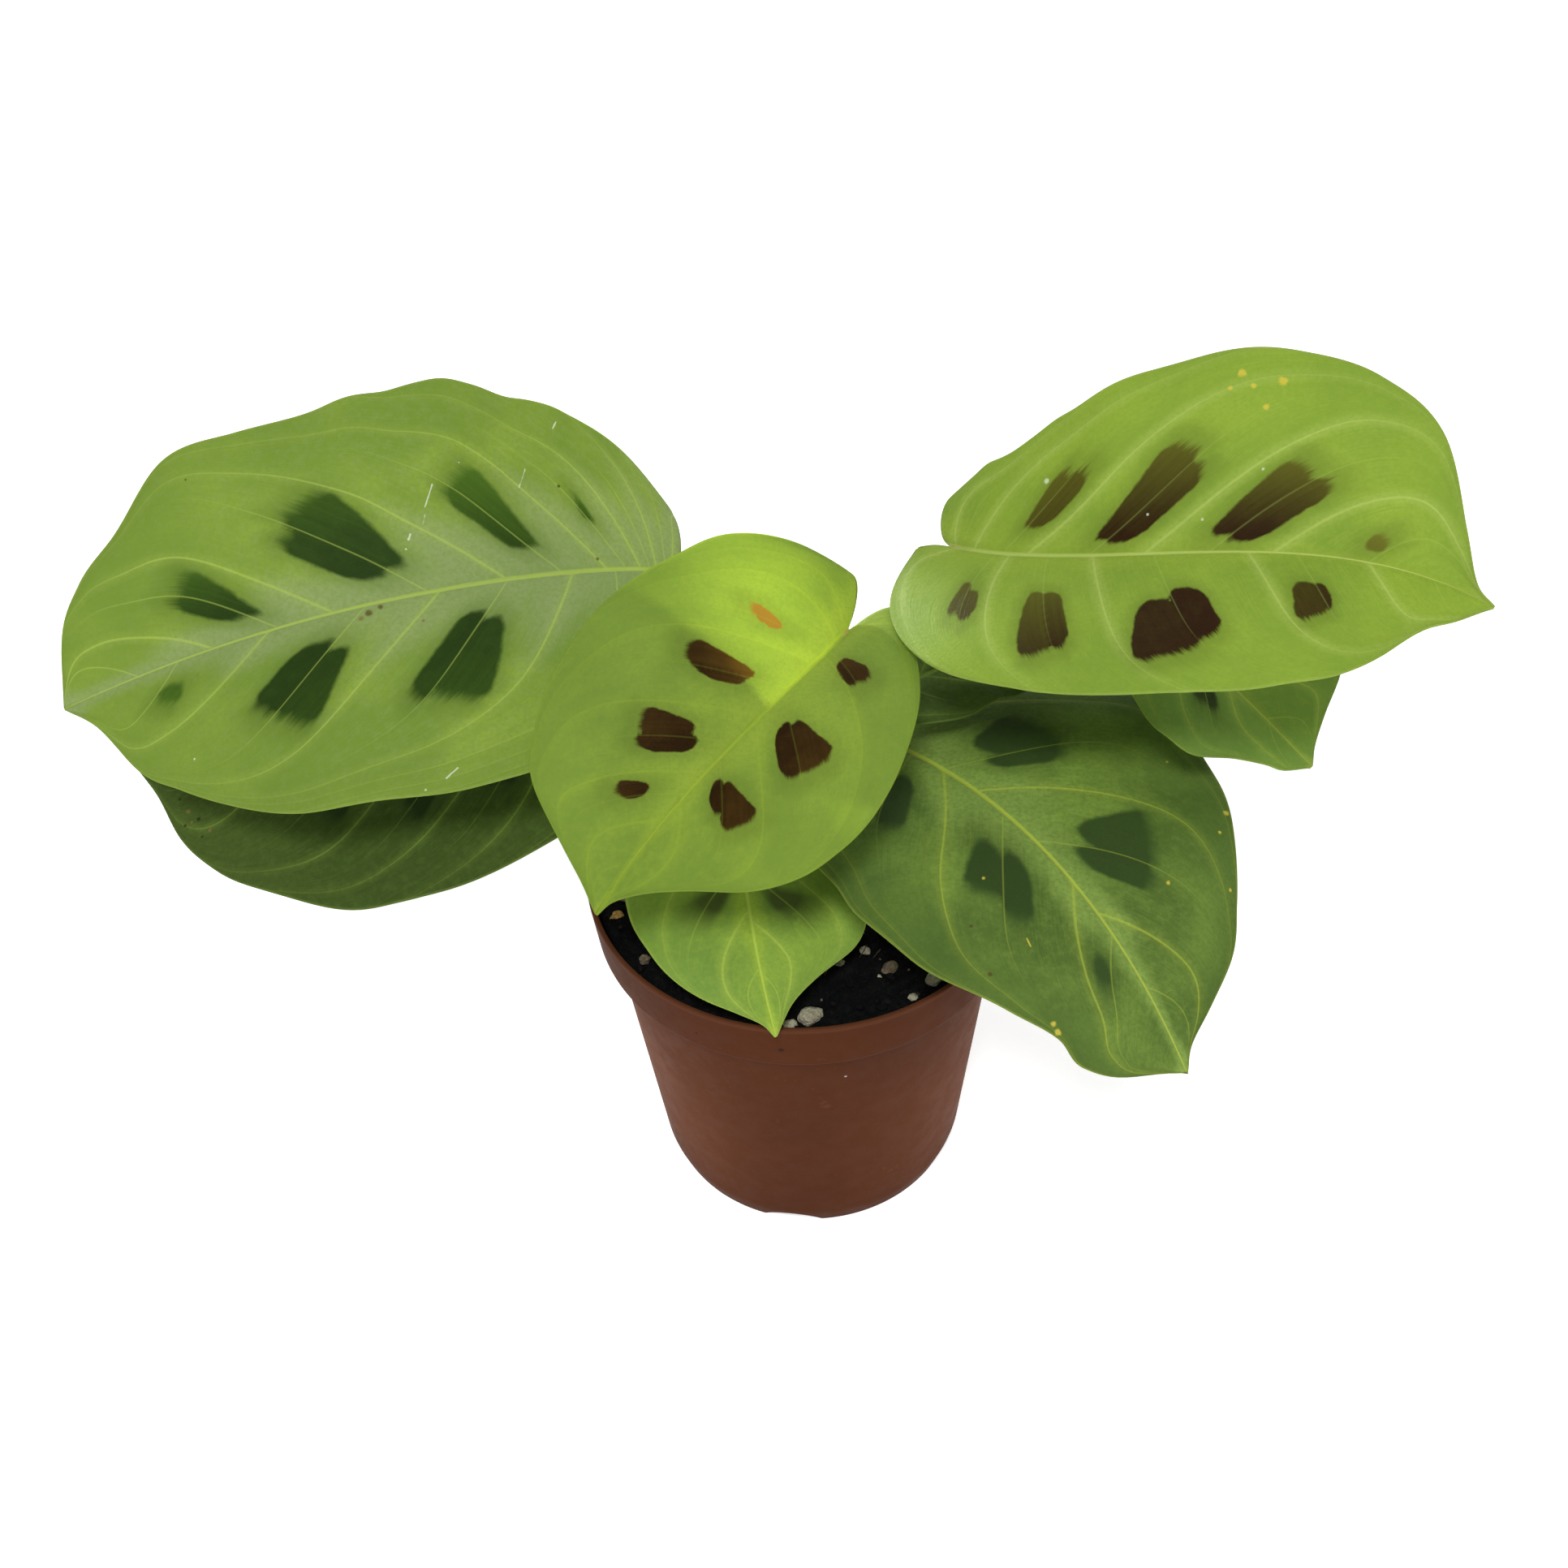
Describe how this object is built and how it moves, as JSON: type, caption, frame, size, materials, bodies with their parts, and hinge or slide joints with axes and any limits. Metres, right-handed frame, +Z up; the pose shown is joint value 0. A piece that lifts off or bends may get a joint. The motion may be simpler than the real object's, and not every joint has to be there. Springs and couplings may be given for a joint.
{
  "type": "potted prayer plant",
  "caption": "Young maranta house plant: broad patterned leaves on slender arching stalks, rising from dark soil in a small tapered round nursery pot with a wide rim band.",
  "frame": {"origin": "middle of the pot's flat base, at the height of the surface that it stands on", "axes": "+Z up along the pot's axis, +X along the spread of the two longest leaves, -Y towards the side that the picture is taken from"},
  "size_m": [0.3019, 0.1404, 0.1985],
  "materials": {
    "pot_plastic": "satin",
    "soil": "rough",
    "stem": "satin",
    "stalk": "satin",
    "leaf": "satin"
  },
  "bodies": {
    "root": {"pot": "pot_plastic", "soil": "soil", "stem_left": "stem", "stem_centre": "stem", "stem_right": "stem", "stalk_left_upper": "stalk", "stalk_left_lower": "stalk", "stalk_centre": "stalk", "stalk_right_upper": "stalk", "stalk_right_front": "stalk", "stalk_right_rear": "stalk", "stalk_right_inner": "stalk", "stalk_front_small": "stalk", "leaf_left_upper": "leaf", "leaf_left_lower": "leaf", "leaf_centre": "leaf", "leaf_right_upper": "leaf", "leaf_right_front": "leaf", "leaf_right_rear": "leaf", "leaf_right_inner": "leaf", "leaf_front_small": "leaf"}
  },
  "joints": []
}
